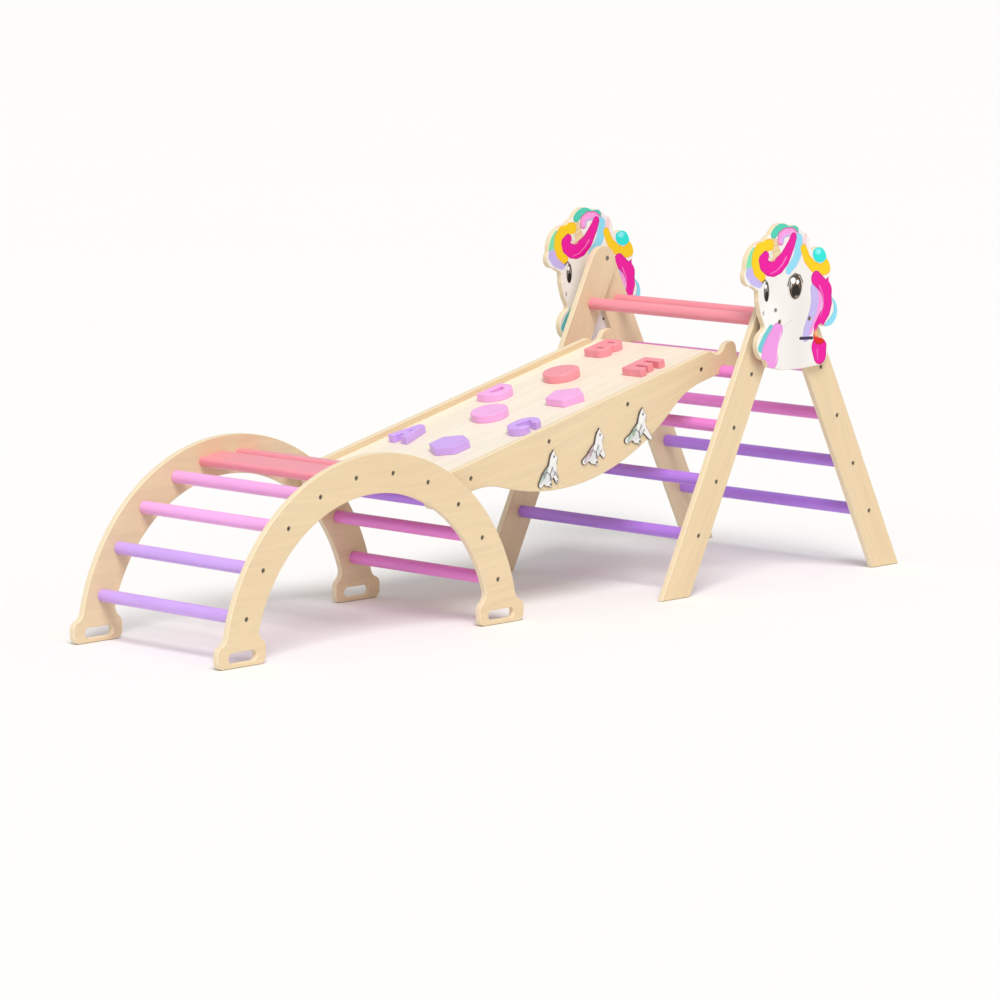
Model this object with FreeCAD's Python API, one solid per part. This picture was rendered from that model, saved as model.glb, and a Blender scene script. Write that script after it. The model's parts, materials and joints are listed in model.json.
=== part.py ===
"""Toddler climbing set: an arch climber, an A-frame climber with pony-head panels and a
slide board with climbing holds that hooks over one rung of each. Millimetres, +Z up,
+X along the slide board from the arch to the A-frame, origin at the middle of the base."""
import FreeCAD, Part
import math
import os

V = FreeCAD.Vector
UP_Y = V(0, 1, 0)

# ---- boards, rungs and fasteners ----
BOARD = 15.0                # thickness of every plywood side, leg and panel
EDGE_ROUND = 2.0            # rounded-over edges of the boards
RUNG_D = 28.0               # round wooden rungs
RUNG_CHAMFER = 1.0
LEG_GAP = 0.5               # running gap between the two ladders' legs
HOOK_GAP = 0.5              # radial gap of a hook on its rung
BOLT_R = 3.0                # furniture bolt, M6
BOLT_HEAD_R = 5.0
BOLT_HEAD_H = 4.0
BOLT_SINK = 1.5             # head below the board's face
BOLT_HOLE_GAP = 0.2         # radial gap of a bolt in its board
HEAD_GAP = 0.5              # radial gap of a head in its counterbore
SOCKET_AF = 4.0             # hexagon socket across flats
SOCKET_DEEP = 2.5
INSERT_R = 6.5              # threaded insert in a rung's end
INSERT_LEN = 20.0
FIT_GAP = 0.05              # radial gap of an insert in its bore and of a bolt in an insert
BOLT_INTO_RUNG = 18.0
SEAT_GAP = 0.02             # between faces that meet on the slope
PAST = 1.0                  # cutters run this far past a face

# ---- arch climber ----
ARCH_WIDTH = 460.0          # over both side panels
ARCH_BOLT_R = 386.0         # radius of the circle through the rungs
ARCH_BAND_IN = 42.0         # band of the panel inside and outside that circle
ARCH_BAND_OUT = 43.0
ARCH_CENTRE_Z = -25.5
ARCH_STEP = 15.9            # degrees between rungs
ARCH_RUNGS = 10
ARCH_HOOK_RUNG = 8          # the rung that carries the slide board
PLANK_RUNGS = (5, 6)        # these two places carry flat planks
PLANK_WIDE = 74.0
PLANK_THICK = 20.0
PLANK_ROUND = 8.0
FOOT_INSIDE = 74.0          # foot block, inside and outside the rungs' circle at the floor
FOOT_OUTSIDE = 60.0
FOOT_TALL = 45.0
FOOT_HOLLOW = 24.0          # hollow round between band and foot
FOOT_CORNER = 16.0
SLOT_SHIFT = 2.5            # handle slot's middle inside the foot's middle
SLOT_Z = 20.5
SLOT_LONG = 78.0
SLOT_TALL = 22.0

# ---- A-frame climber ----
FRAME_DX = 1232.4           # arch's middle to the A-frame's pivot
PIVOT_Z = 696.3
LEAN = 26.63                # each ladder from the vertical, degrees
FRONT_WIDTH = 560.0         # over the front ladder's legs
LEG_LEFT = 46.5             # leg's edges from its line of rungs
LEG_RIGHT = 35.5
LEG_TOP = 25.0              # rounded top above the pivot
FRAME_RUNGS = 5
RUNG_PITCH = 129.0
TOP_RUNG = 113.5            # pivot to the top rung along the leg
FRAME_HOOK_RUNG = 4         # the rung, from the floor, that carries the slide board
PIVOT_R = 4.0
PIVOT_RUN = 0.06            # running gap of the pivot in the rear leg
PIVOT_HEAD_R = 5.5
PIVOT_HEAD_H = 3.5
PIVOT_SINK = 0.5
NUT_R = 8.0
NUT_H = 6.0
NUT_GAP = 0.4
SPACER_R = 9.0              # sleeve between head panel and front leg
LOCK_HEAD_LIFT = 0.3        # lock screw's head above its seat

# ---- slide board ----
RAMP_WIDTH = 390.0
RAMP_ABOVE = 58.7           # boards' top edge above the line of the two hooked rungs
RAMP_BELOW = 1.5            # boards' lower edge under that line, at the hooks
RAMP_OVER = 53.0            # boards past each hooked rung
EAR_DROP = 6.0              # upper end's lip under the lower edge
EAR_RUN = 4.0               # where the lip starts to drop, before the hook's notch
EAR_CORNER = 16.0
BELLY_DEEP = 96.0
BELLY_ENDS = 76.0           # belly starts this far inside each hooked rung
BELLY_ENTRY = 200.0         # radius where the belly starts
SCOOP_R = 25.0              # hollow in the top edge over the upper hook
SCOOP_BACK = 5.5
SCOOP_RISE = 9.0
DECK_THICK = 9.0
DECK_DOWN = 14.0            # deck's face below the boards' top edges
DECK_LOW = 30.0             # deck past the lower rung
DECK_HIGH = 2.5             # deck past the upper rung
RAILS = 4
RAIL_TALL = 18.0
RAIL_WIDE = 44.0
RAIL_ENDS = 75.0            # outer rails inside each hooked rung
RAIL_INNER = 6.0            # inner rails set out from an even pitch
SCREW_R = 2.0
SCREW_HEAD_R = 4.0
SCREW_HEAD_H = 2.0
SCREW_BITE = 6.0            # rail screw's length in the deck
RAIL_SCREW_IN = 35.0        # rail screws in from the side boards
HOLD_BITE = 11.0
HOLD_TALL = 18.0
HOLD_ROUND = 2.0
LETTER_TALL = 80.0
LETTER_WIDE = 60.0
LETTER_BAR = 19.0
DISC_R = 42.0
HEXAGON_R = 46.0
PENTAGON_R = 46.0
BADGE_THICK = 3.0
BADGE_LINE = 87.0           # badges' middle below the top edge
# badges: along the slope from the deck's middle, tip of the tail and front hoof (x, z)
BADGES = ((-141.0, (-24, -34), (27, -30)),
          (8.0, (-32, -31), (29, -22)),
          (150.0, (-34, -30), (42, -30)))

# holds: name, along the slope from the deck's middle, in from the far (+) or near (-) board, kind
HOLDS = (
    ("hold_a", -237.0, 65.0, "A"), ("hold_hexagon", -272.0, -138.0, "hexagon"),
    ("hold_c", -121.0, -56.0, "C"), ("hold_disc_lower", -72.0, 152.0, "disc"),
    ("hold_d", 47.0, 65.0, "D"), ("hold_pentagon", 67.0, -106.0, "pentagon"),
    ("hold_disc_upper", 198.0, 119.0, "disc"), ("hold_e", 293.0, -76.0, "E"),
    ("hold_b", 378.0, 89.0, "B"))

# pony-head panel, from the pivot: lobes (x, z, radius) and the face's corners
HEAD_LOBES = (
    (-147, 7, 23), (-109, 27, 55), (-76, 60, 36), (-46, 76, 43), (-8, 68, 44), (20, 66, 31),
    (80, 30, 28), (89, 4, 33), (99, -45, 29), (113, -90, 34), (84, -178, 31), (-90, -150, 36))
HEAD_FACE = ((-122, 0), (-122, -52), (-112, -85), (-96, -115), (-92, -200), (-40, -211),
             (20, -213), (90, -209), (78, -150), (80, -90), (90, 0), (40, 60), (-60, 70))
HEAD_SOFT = 10.0

# ---- places that follow ----
RUNG_R = RUNG_D / 2
FOOT_IN = ARCH_BOLT_R - FOOT_INSIDE     # from the arch's middle
FOOT_OUT = ARCH_BOLT_R + FOOT_OUTSIDE
SLOT_X = (FOOT_IN + FOOT_OUT) / 2 - SLOT_SHIFT
TILT = math.radians(LEAN)
REAR_FOOT = FRAME_DX + PIVOT_Z * math.tan(TILT) + LEG_RIGHT / math.cos(TILT)
ARCH_X = (FOOT_OUT - REAR_FOOT) / 2
PIVOT = V(ARCH_X + FRAME_DX, 0, PIVOT_Z)
ARCH_IN = ARCH_WIDTH / 2 - BOARD
FRONT_OUT = FRONT_WIDTH / 2
FRONT_IN = FRONT_OUT - BOARD
REAR_IN = FRONT_OUT + LEG_GAP
REAR_OUT = REAR_IN + BOARD
PANEL_OUT = REAR_OUT + BOARD
RAMP_OUT = RAMP_WIDTH / 2
RAMP_IN = RAMP_OUT - BOARD
DECK_FACE = RAMP_ABOVE - DECK_DOWN      # above the line of the two hooked rungs
DECK_UNDER = DECK_FACE - DECK_THICK
RAIL_SCREW = RAMP_IN - RAIL_SCREW_IN
SEAT = BOLT_SINK + BOLT_HEAD_H          # depth of a head's seat below the board's face
SIDES = (("near", -1), ("far", 1))


def arch_place(number):
    """Centre and tilt of rung number (1 at the low end) of the arch."""
    angle = (number - (ARCH_RUNGS + 1) / 2) * ARCH_STEP
    turn = math.radians(angle)
    x = ARCH_X + ARCH_BOLT_R * math.sin(turn)
    return V(x, 0, ARCH_CENTRE_Z + ARCH_BOLT_R * math.cos(turn)), angle


def frame_place(number, side):
    """Centre of rung number (1 at the floor) of the front (-1) or rear (+1) ladder."""
    reach = TOP_RUNG + RUNG_PITCH * (FRAME_RUNGS - number)
    return V(PIVOT.x + side * reach * math.sin(TILT), 0, PIVOT.z - reach * math.cos(TILT))


HOOK_LOW = arch_place(ARCH_HOOK_RUNG)[0]
HOOK_HIGH = frame_place(FRAME_HOOK_RUNG, -1)
SPAN = HOOK_HIGH.sub(HOOK_LOW).Length
SLOPE = math.degrees(math.atan2(HOOK_HIGH.z - HOOK_LOW.z, HOOK_HIGH.x - HOOK_LOW.x))


# ---- helpers ----
def polygon(points):
    """Face in the XZ plane from (x, z) pairs, facing +Y."""
    corners = [V(x, 0, z) for x, z in points]
    face = Part.Face(Part.makePolygon(corners + corners[:1]))
    if face.normalAt(0, 0).y < 0:
        corners.reverse()
        face = Part.Face(Part.makePolygon(corners + corners[:1]))
    return face


def rectangle(x0, z0, x1, z1):
    return polygon(((x0, z0), (x1, z0), (x1, z1), (x0, z1)))


def disc(x, z, radius):
    circle = Part.makeCircle(radius, V(x, 0, z), UP_Y)
    return Part.Face(Part.Wire(circle))


def join(faces):
    """The overlapping faces as one face, facing +Y like them."""
    blocks = [face.extrude(UP_Y) for face in faces]
    whole = blocks[0].multiFuse(blocks[1:]).removeSplitter()
    floor = [face for face in whole.Faces if face.BoundBox.YMax < 0.5][0]
    return Part.Face(floor.Wires, "Part::FaceMakerBullseye")


def rounded(face, corner=0.0, hollow=0.0):
    """The face with its hollow corners filled and its outer corners rounded."""
    if hollow:
        face = face.makeOffset2D(hollow).makeOffset2D(-hollow)
    if corner:
        face = face.makeOffset2D(-corner).makeOffset2D(corner)
    return face


def plate(face, y0, y1, edge=EDGE_ROUND):
    """Board between y0 and y1 with its outline rounded over on both faces."""
    solid = face.extrude(V(0, y1 - y0, 0))
    solid.translate(V(0, y0, 0))
    solid = solid.Solids[0]
    if edge:
        rims = [e for e in solid.Edges
                if abs(e.BoundBox.YMin - e.BoundBox.YMax) < 1e-6]
        solid = solid.makeFillet(edge, rims)
    return solid


def rod(centre, radius, y0, y1):
    """Round bar along Y."""
    return Part.makeCylinder(radius, y1 - y0, V(centre.x, y0, centre.z), UP_Y)


def span(a, b):
    """The two values in rising order."""
    return (a, b) if a < b else (b, a)


def bar(centre, radius, side, inner, outer):
    """Round bar along Y on one side, from inner to outer distance off the middle."""
    return rod(centre, radius, *span(side * inner, side * outer))


def bolt_room(centre, side, face, through):
    """Counterbore and hole for a bolt that enters at face and goes in to through."""
    return bar(centre, BOLT_HEAD_R + HEAD_GAP, side, face - SEAT, face + PAST).fuse(
        bar(centre, BOLT_R + BOLT_HOLE_GAP, side, through, face))


def bolt(centre, side, face, inner, lift=0.0, radius=BOLT_R):
    """Socket-head bolt whose head sits in a counterbore at face; it ends at inner."""
    seat = face - SEAT + lift
    top = seat + BOLT_HEAD_H
    body = bar(centre, BOLT_HEAD_R, side, seat, top).fuse(
        bar(centre, radius, side, inner, seat))
    corner = SOCKET_AF / math.sqrt(3)
    turns = [math.radians(60 * k) for k in range(6)]
    socket = polygon([(centre.x + corner * math.cos(t), centre.z + corner * math.sin(t))
                      for t in turns])
    socket = socket.extrude(V(0, side * SOCKET_DEEP, 0))
    socket.translate(V(0, side * (top - SOCKET_DEEP), 0))
    return body.cut(socket).removeSplitter()


def insert(centre, side, face, radius=BOLT_R):
    """Threaded sleeve just inside a rung's end at face."""
    sleeve = bar(centre, INSERT_R - FIT_GAP, side, face - INSERT_LEN, face)
    return sleeve.cut(bar(centre, radius + FIT_GAP, side,
                          face - INSERT_LEN - PAST, face + PAST))


def insert_room(centre, side, face):
    return bar(centre, INSERT_R, side, face - INSERT_LEN, face + PAST)


def rung(centre, half):
    """Wooden rung between the inner faces at -half and +half, bored for its inserts."""
    body = rod(centre, RUNG_R, -half, half)
    body = body.makeChamfer(RUNG_CHAMFER, [e for e in body.Edges if e.Closed])
    for _, side in SIDES:
        body = body.cut(insert_room(centre, side, half))
    return body


def save(name, *solids):
    os.makedirs("parts", exist_ok=True)
    shape = solids[0] if len(solids) == 1 else Part.makeCompound(list(solids))
    shape.exportStep("parts/" + name + ".step")


# ---- arch climber ----
def arch_side(side):
    centre = (ARCH_X, ARCH_CENTRE_Z)
    ring = disc(*centre, ARCH_BOLT_R + ARCH_BAND_OUT).cut(
        disc(*centre, ARCH_BOLT_R - ARCH_BAND_IN))
    feet = [rectangle(ARCH_X + s * FOOT_IN, 0, ARCH_X + s * FOOT_OUT, FOOT_TALL)
            for s in (-1, 1)]
    reach = 2 * ARCH_BOLT_R
    band = ring.common(rectangle(ARCH_X - reach, FOOT_TALL / 3, ARCH_X + reach, reach))
    outline = rounded(join([band] + feet), FOOT_CORNER, FOOT_HOLLOW)
    for s in (-1, 1):
        middle = ARCH_X + s * SLOT_X
        half = (SLOT_LONG - SLOT_TALL) / 2
        slot = join([disc(middle - half, SLOT_Z, SLOT_TALL / 2),
                     disc(middle + half, SLOT_Z, SLOT_TALL / 2),
                     rectangle(middle - half, SLOT_Z - SLOT_TALL / 2,
                               middle + half, SLOT_Z + SLOT_TALL / 2)])
        outline = outline.cut(slot)
    y0, y1 = span(side * ARCH_IN, side * (ARCH_IN + BOARD))
    panel = plate(outline.Faces[0], y0, y1)
    for number in range(1, ARCH_RUNGS + 1):
        place = arch_place(number)[0]
        panel = panel.cut(bolt_room(place, side, ARCH_IN + BOARD, ARCH_IN - PAST))
    return panel


def arch_plank(number):
    place, angle = arch_place(number)
    outline = rounded(rectangle(place.x - PLANK_WIDE / 2, place.z - PLANK_THICK / 2,
                                place.x + PLANK_WIDE / 2, place.z + PLANK_THICK / 2),
                      PLANK_ROUND)
    plank = plate(outline.Faces[0], -ARCH_IN, ARCH_IN, 0)
    plank.rotate(place, UP_Y, angle)
    for _, side in SIDES:
        plank = plank.cut(insert_room(place, side, ARCH_IN))
    return plank


def make_arch():
    for name, side in SIDES:
        save("arch_side_" + name, arch_side(side))
    bolts, inserts = [], []
    for number in range(1, ARCH_RUNGS + 1):
        place = arch_place(number)[0]
        if number in PLANK_RUNGS:
            save("arch_plank_%d" % number, arch_plank(number))
        else:
            save("arch_rung_%d" % number, rung(place, ARCH_IN))
        for _, side in SIDES:
            bolts.append(bolt(place, side, ARCH_IN + BOARD, ARCH_IN - BOLT_INTO_RUNG))
            inserts.append(insert(place, side, ARCH_IN))
    save("arch_bolts", *bolts)
    save("arch_inserts", *inserts)


# ---- A-frame climber ----
def leg(side, lean_side, inner):
    """Leg with a round top, leaned about the pivot and cut flat on the floor."""
    reach = PIVOT_Z / math.cos(TILT) + 2 * LEG_LEFT
    half = (LEG_LEFT + LEG_RIGHT) / 2
    middle = PIVOT.x + (LEG_RIGHT - LEG_LEFT) / 2
    top = PIVOT_Z + LEG_TOP - half
    outline = join([disc(middle, top, half),
                    rectangle(middle - half, PIVOT_Z - reach, middle + half, top)])
    outline.rotate(PIVOT, UP_Y, -lean_side * LEAN)
    floor = rectangle(PIVOT.x - reach, 0, PIVOT.x + reach, 2 * reach)
    y0, y1 = span(side * inner, side * (inner + BOARD))
    return plate(outline.common(floor).Faces[0], y0, y1)


def front_leg(side):
    body = leg(side, -1, FRONT_IN)
    for number in range(1, FRAME_RUNGS + 1):
        body = body.cut(bolt_room(frame_place(number, -1), side, FRONT_OUT, FRONT_IN - PAST))
    body = body.cut(bar(PIVOT, PIVOT_R + FIT_GAP, side, FRONT_IN - PAST, FRONT_OUT + PAST))
    sink = PIVOT_SINK + PIVOT_HEAD_H
    return body.cut(bar(PIVOT, PIVOT_HEAD_R + HEAD_GAP, side, FRONT_IN - PAST, FRONT_IN + sink))


def rear_leg(side):
    body = leg(side, 1, REAR_IN)
    for number in range(1, FRAME_RUNGS):
        body = body.cut(bolt_room(frame_place(number, 1), side, REAR_OUT, REAR_IN - PAST))
    top = frame_place(FRAME_RUNGS, 1)
    body = body.cut(bar(top, BOLT_R + BOLT_HOLE_GAP, side, REAR_IN - PAST, REAR_OUT + PAST))
    body = body.cut(bar(PIVOT, PIVOT_R + PIVOT_RUN, side, REAR_IN - PAST, REAR_OUT + PAST))
    recess = NUT_H + 2 * NUT_GAP
    return body.cut(bar(PIVOT, NUT_R + HEAD_GAP, side, REAR_OUT - recess, REAR_OUT + PAST))


def pivot_bolt(side):
    seat = FRONT_IN + PIVOT_SINK + PIVOT_HEAD_H
    head = bar(PIVOT, PIVOT_HEAD_R, side, seat - PIVOT_HEAD_H, seat)
    return head.fuse(bar(PIVOT, PIVOT_R, side, seat, REAR_OUT - NUT_GAP)).removeSplitter()


def pivot_nut(side):
    outer = REAR_OUT - NUT_GAP
    nut = bar(PIVOT, NUT_R, side, outer - NUT_H, outer)
    return nut.cut(bar(PIVOT, PIVOT_R + FIT_GAP, side, outer - NUT_H - PAST, outer + PAST))


def make_front_ladder():
    for name, side in SIDES:
        save("front_leg_" + name, front_leg(side))
    bolts, inserts = [], []
    for number in range(1, FRAME_RUNGS + 1):
        place = frame_place(number, -1)
        save("front_rung_%d" % number, rung(place, FRONT_IN))
        for _, side in SIDES:
            bolts.append(bolt(place, side, FRONT_OUT, FRONT_IN - BOLT_INTO_RUNG))
            inserts.append(insert(place, side, FRONT_IN))
    save("front_bolts", *bolts)
    save("front_inserts", *inserts)
    save("pivot_bolts", *[pivot_bolt(side) for _, side in SIDES])
    save("pivot_nuts", *[pivot_nut(side) for _, side in SIDES])


def head_outline():
    lobes = [disc(PIVOT.x + x, PIVOT.z + z, radius) for x, z, radius in HEAD_LOBES]
    face = polygon([(PIVOT.x + x, PIVOT.z + z) for x, z in HEAD_FACE])
    return rounded(join([face] + lobes), HEAD_SOFT, HEAD_SOFT).Faces[0]


def head_panel(side):
    body = plate(head_outline(), *span(side * REAR_OUT, side * PANEL_OUT))
    body = body.cut(bolt_room(frame_place(FRAME_RUNGS, 1), side, PANEL_OUT, REAR_OUT - PAST))
    lock = frame_place(FRAME_RUNGS, -1)
    head = bar(lock, BOLT_HEAD_R + HEAD_GAP, side, PANEL_OUT - SEAT, PANEL_OUT + PAST)
    return body.cut(head.fuse(bar(lock, BOLT_R + FIT_GAP, side, REAR_OUT - PAST, PANEL_OUT)))


def spacer(side):
    """Sleeve on the head panel's inner face, round the lock screw."""
    place = frame_place(FRAME_RUNGS, -1)
    sleeve = bar(place, SPACER_R, side, FRONT_OUT + LEG_GAP, REAR_OUT)
    return sleeve.cut(bar(place, BOLT_R + FIT_GAP, side, FRONT_OUT, REAR_OUT + PAST))


def make_rear_ladder():
    for name, side in SIDES:
        save("rear_leg_" + name, rear_leg(side))
        save("head_panel_" + name, head_panel(side))
        place = frame_place(FRAME_RUNGS, -1)
        save("lock_screw_" + name, bolt(place, side, PANEL_OUT, FRONT_OUT + LEG_GAP,
                                        LOCK_HEAD_LIFT))
    bolts, inserts = [], []
    for number in range(1, FRAME_RUNGS + 1):
        place = frame_place(number, 1)
        save("rear_rung_%d" % number, rung(place, REAR_IN))
        for _, side in SIDES:
            inserts.append(insert(place, side, REAR_IN))
            if number < FRAME_RUNGS:
                bolts.append(bolt(place, side, REAR_OUT, REAR_IN - BOLT_INTO_RUNG))
    save("rear_bolts", *bolts)
    save("rear_inserts", *inserts)
    top = frame_place(FRAME_RUNGS, 1)
    save("panel_bolts", *[bolt(top, side, PANEL_OUT, REAR_IN - BOLT_INTO_RUNG)
                          for _, side in SIDES])
    save("panel_spacers", *[spacer(side) for _, side in SIDES])


# ---- slide board, drawn level with its lower rung at the origin, then put in place ----
def on_slope(shape):
    """Puts a level shape on the slope between the two hooked rungs."""
    shape.rotate(V(0, 0, 0), UP_Y, -SLOPE)
    shape.translate(HOOK_LOW)
    return shape


def rail_places():
    """Rails along the slope, symmetric about the middle."""
    middle = SPAN / 2 + RAIL_INNER
    outer = SPAN / 2 - RAIL_ENDS
    inner = outer / 3 + RAIL_INNER / 2
    return [middle - outer, middle - inner, middle + inner, middle + outer]


def arc(centre_x, centre_z, radius, from_turn, to_turn):
    """Arc in the XZ plane; turns are radians from straight down, positive to +X."""
    turns = (from_turn, (from_turn + to_turn) / 2, to_turn)
    points = [V(centre_x + radius * math.sin(t), 0, centre_z - radius * math.cos(t))
              for t in turns]
    return Part.Arc(*points).toShape()


def belly():
    """The boards' lower edge: an entry arc, one long arc and another entry arc."""
    half = SPAN / 2 - BELLY_ENDS
    turn = 2 * math.atan(BELLY_DEEP / half)
    long_radius = half / math.sin(turn) - BELLY_ENTRY
    entry_z = -RAMP_BELOW - BELLY_ENTRY
    return [arc(SPAN / 2 - half, entry_z, BELLY_ENTRY, math.pi, math.pi - turn),
            arc(SPAN / 2, -RAMP_BELOW - BELLY_DEEP + long_radius, long_radius, -turn, turn),
            arc(SPAN / 2 + half, entry_z, BELLY_ENTRY, math.pi + turn, math.pi)]


def ramp_outline():
    low, high = -RAMP_OVER, SPAN + RAMP_OVER
    lip = -RAMP_BELOW
    ends = [V(SPAN / 2 + s * (SPAN / 2 - BELLY_ENDS), 0, lip) for s in (-1, 1)]
    corners = [ends[1], V(SPAN - RUNG_R - HOOK_GAP - EAR_RUN, 0, lip),
               V(SPAN, 0, lip - EAR_DROP), V(high, 0, lip - EAR_DROP), V(high, 0, RAMP_ABOVE),
               V(low, 0, RAMP_ABOVE), V(low, 0, lip), ends[0]]
    edges = belly() + [Part.makeLine(a, b) for a, b in zip(corners, corners[1:])]
    board = Part.Face(Part.Wire(Part.__sortEdges__(edges)))
    board = board.cut(disc(SPAN - SCOOP_BACK, RAMP_ABOVE + SCOOP_RISE, SCOOP_R))
    return rounded(board.Faces[0], EAR_CORNER).Faces[0]


def hook_room(place, side):
    """Half-round notch that drops over a rung, open downwards."""
    grip = RUNG_R + HOOK_GAP
    outline = join([disc(place, 0, grip), rectangle(place - grip, -2 * grip, place + grip, 0)])
    y0, y1 = span(side * (RAMP_IN - PAST), side * (RAMP_OUT + PAST))
    return plate(outline, y0, y1, 0)


def ramp_side(side):
    board = plate(ramp_outline(), *span(side * RAMP_IN, side * RAMP_OUT))
    for place in (0.0, SPAN):
        board = board.cut(hook_room(place, side))
    for place in rail_places():
        board = board.cut(bolt_room(V(place, 0, rail_level()), side,
                                    RAMP_OUT, RAMP_IN - PAST))
    return on_slope(board)


def rail_level():
    """Middle of the rails above the line of the hooked rungs."""
    return DECK_UNDER - SEAT_GAP - RAIL_TALL / 2


def ramp_deck():
    deck = plate(rectangle(-DECK_LOW, DECK_UNDER, SPAN + DECK_HIGH, DECK_FACE),
                 -RAMP_IN, RAMP_IN, 0)
    for place, across in screw_places():
        deck = deck.cut(screw_room(place, across, DECK_UNDER, DECK_FACE + PAST))
    for place in rail_places():
        for _, side in SIDES:
            deck = deck.cut(upright(place, side * RAIL_SCREW, SCREW_R + FIT_GAP,
                                    DECK_UNDER - PAST, DECK_UNDER + SCREW_BITE))
    return on_slope(deck)


def ramp_rail(place):
    level = rail_level()
    rail = plate(rectangle(place - RAIL_WIDE / 2, level - RAIL_TALL / 2,
                           place + RAIL_WIDE / 2, level + RAIL_TALL / 2),
                 -RAMP_IN, RAMP_IN, 0)
    for _, side in SIDES:
        rail = rail.cut(insert_room(V(place, 0, level), side, RAMP_IN))
    for _, side in SIDES:
        rail = rail.cut(screw_room(place, side * RAIL_SCREW, level - RAIL_TALL / 2, DECK_UNDER))
    return on_slope(rail)


def upright(place, across, radius, z0, z1):
    """Round bar square to the deck."""
    return Part.makeCylinder(radius, z1 - z0, V(place, across, z0))


def hold_places():
    """Each hold's name, place along and across the deck, and kind."""
    return [(name, SPAN / 2 + along, math.copysign(RAMP_IN, inset) - inset, kind)
            for name, along, inset, kind in HOLDS]


def screw_places():
    """Screws that hold the climbing holds, two under each."""
    ends = LETTER_TALL / 2 - LETTER_BAR / 2
    spots = {"A": ((ends - 2, 0), (-LETTER_TALL * 0.16, 0))}
    for kind, radius in (("disc", DISC_R), ("hexagon", HEXAGON_R), ("pentagon", PENTAGON_R)):
        spots[kind] = ((0, -radius / 2), (0, radius / 2))
    return [(along + u, across + v) for _, along, across, kind in hold_places()
            for u, v in spots.get(kind, ((-ends, 0), (ends, 0)))]


def screw_room(place, across, seat, through):
    """Room for a wood screw that enters at seat, from below, and goes up to through."""
    head = upright(place, across, SCREW_HEAD_R + FIT_GAP, seat - PAST, seat + SCREW_HEAD_H)
    return head.fuse(upright(place, across, SCREW_R + FIT_GAP, seat, through))


def wood_screw(place, across, seat, length):
    head = upright(place, across, SCREW_HEAD_R, seat, seat + SCREW_HEAD_H)
    return head.fuse(upright(place, across, SCREW_R, seat, seat + length)).removeSplitter()


def make_ramp():
    for name, side in SIDES:
        save("ramp_side_" + name, ramp_side(side))
    save("ramp_deck", ramp_deck())
    bolts, inserts, screws = [], [], []
    rail_under = rail_level() - RAIL_TALL / 2
    for number, place in enumerate(rail_places(), 1):
        save("ramp_rail_%d" % number, ramp_rail(place))
        for _, side in SIDES:
            centre = V(place, 0, rail_level())
            bolts.append(on_slope(bolt(centre, side, RAMP_OUT, RAMP_IN - BOLT_INTO_RUNG)))
            inserts.append(on_slope(insert(centre, side, RAMP_IN)))
            screws.append(on_slope(wood_screw(place, side * RAIL_SCREW, rail_under,
                                              DECK_UNDER + SCREW_BITE - rail_under)))
    for place, across in screw_places():
        screws.append(on_slope(wood_screw(place, across, DECK_UNDER, DECK_THICK + HOLD_BITE)))
    save("ramp_bolts", *bolts)
    save("ramp_inserts", *inserts)
    save("ramp_screws", *screws)


# ---- climbing holds, drawn upright (x to the right, z to the top), then laid on the deck ----
def letter_a():
    w, h, b = LETTER_WIDE / 2, LETTER_TALL / 2, LETTER_BAR
    outer = polygon(((-w, -h), (-b / 2, h), (b / 2, h), (w, -h)))
    notch = polygon(((b - w, -h - PAST), (b - w + 4, -h * 0.55),
                     (w - b - 4, -h * 0.55), (w - b, -h - PAST)))
    hole = polygon(((-b * 0.3, -h * 0.08), (b * 0.3, -h * 0.08), (0, h * 0.45)))
    return rounded(outer.cut(notch).Faces[0], 3, 1.5).Faces[0].cut(hole)


def letter_b():
    w, h, b = LETTER_WIDE / 2, LETTER_TALL / 2, LETTER_BAR
    bowls = [(h * 0.49, h * 0.51, 0.0), (-h * 0.46, h * 0.54, 2.0)]
    shapes = [rectangle(-w, -h, w - h * 0.5, h)]
    shapes += [disc(w - r - 2 + out, z, r) for z, r, out in bowls]
    holes = [rectangle(b - w, z - b * 0.18, w - b * 0.9, z + b * 0.18) for z, _, _ in bowls]
    return rounded(join(shapes), 3, 2).Faces[0].cut(holes[0]).cut(holes[1])


def letter_c():
    w, h, b = LETTER_WIDE / 2, LETTER_TALL / 2, LETTER_BAR
    rise = h - w
    outer = join([disc(0, rise, w), disc(0, -rise, w), rectangle(-w, -rise, w, rise)])
    inner = join([disc(0, rise, w - b), disc(0, -rise, w - b),
                  rectangle(b - w, -rise, w - b, rise)])
    return rounded(outer.cut(inner).cut(rectangle(0, -rise, w + PAST, rise)).Faces[0], 3, 0)


def letter_d():
    w, h, b = LETTER_WIDE / 2, LETTER_TALL / 2, LETTER_BAR
    bowl = disc(w - h, 0, h).common(rectangle(-w, -h, w, h))
    outer = join([bowl, rectangle(-w, -h, w - h, h)])
    hole = disc(w - h, 0, h - b).common(rectangle(b - w, -h, w, h))
    return rounded(outer, 3).Faces[0].cut(hole)


def letter_e():
    w, h, b = LETTER_WIDE / 2, LETTER_TALL / 2, LETTER_BAR
    bars = [rectangle(-w, -h, b - w, h)]
    bars += [rectangle(-w, z - b / 2, reach, z + b / 2)
             for z, reach in ((h - b / 2, w), (0, w - 7), (b / 2 - h, w))]
    return rounded(join(bars), 3, 1.5)


def regular(corners, radius):
    turns = [2 * math.pi * k / corners for k in range(corners)]
    face = polygon([(radius * math.sin(t), radius * math.cos(t)) for t in turns])
    return rounded(face, 4)


def hold(kind):
    """Outline of a climbing hold."""
    letters = {"A": letter_a, "B": letter_b, "C": letter_c, "D": letter_d, "E": letter_e}
    if kind in letters:
        return letters[kind]().Faces[0]
    if kind == "disc":
        return disc(0, 0, DISC_R)
    corners, radius = {"hexagon": (6, HEXAGON_R), "pentagon": (5, PENTAGON_R)}[kind]
    return regular(corners, radius).Faces[0]


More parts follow.
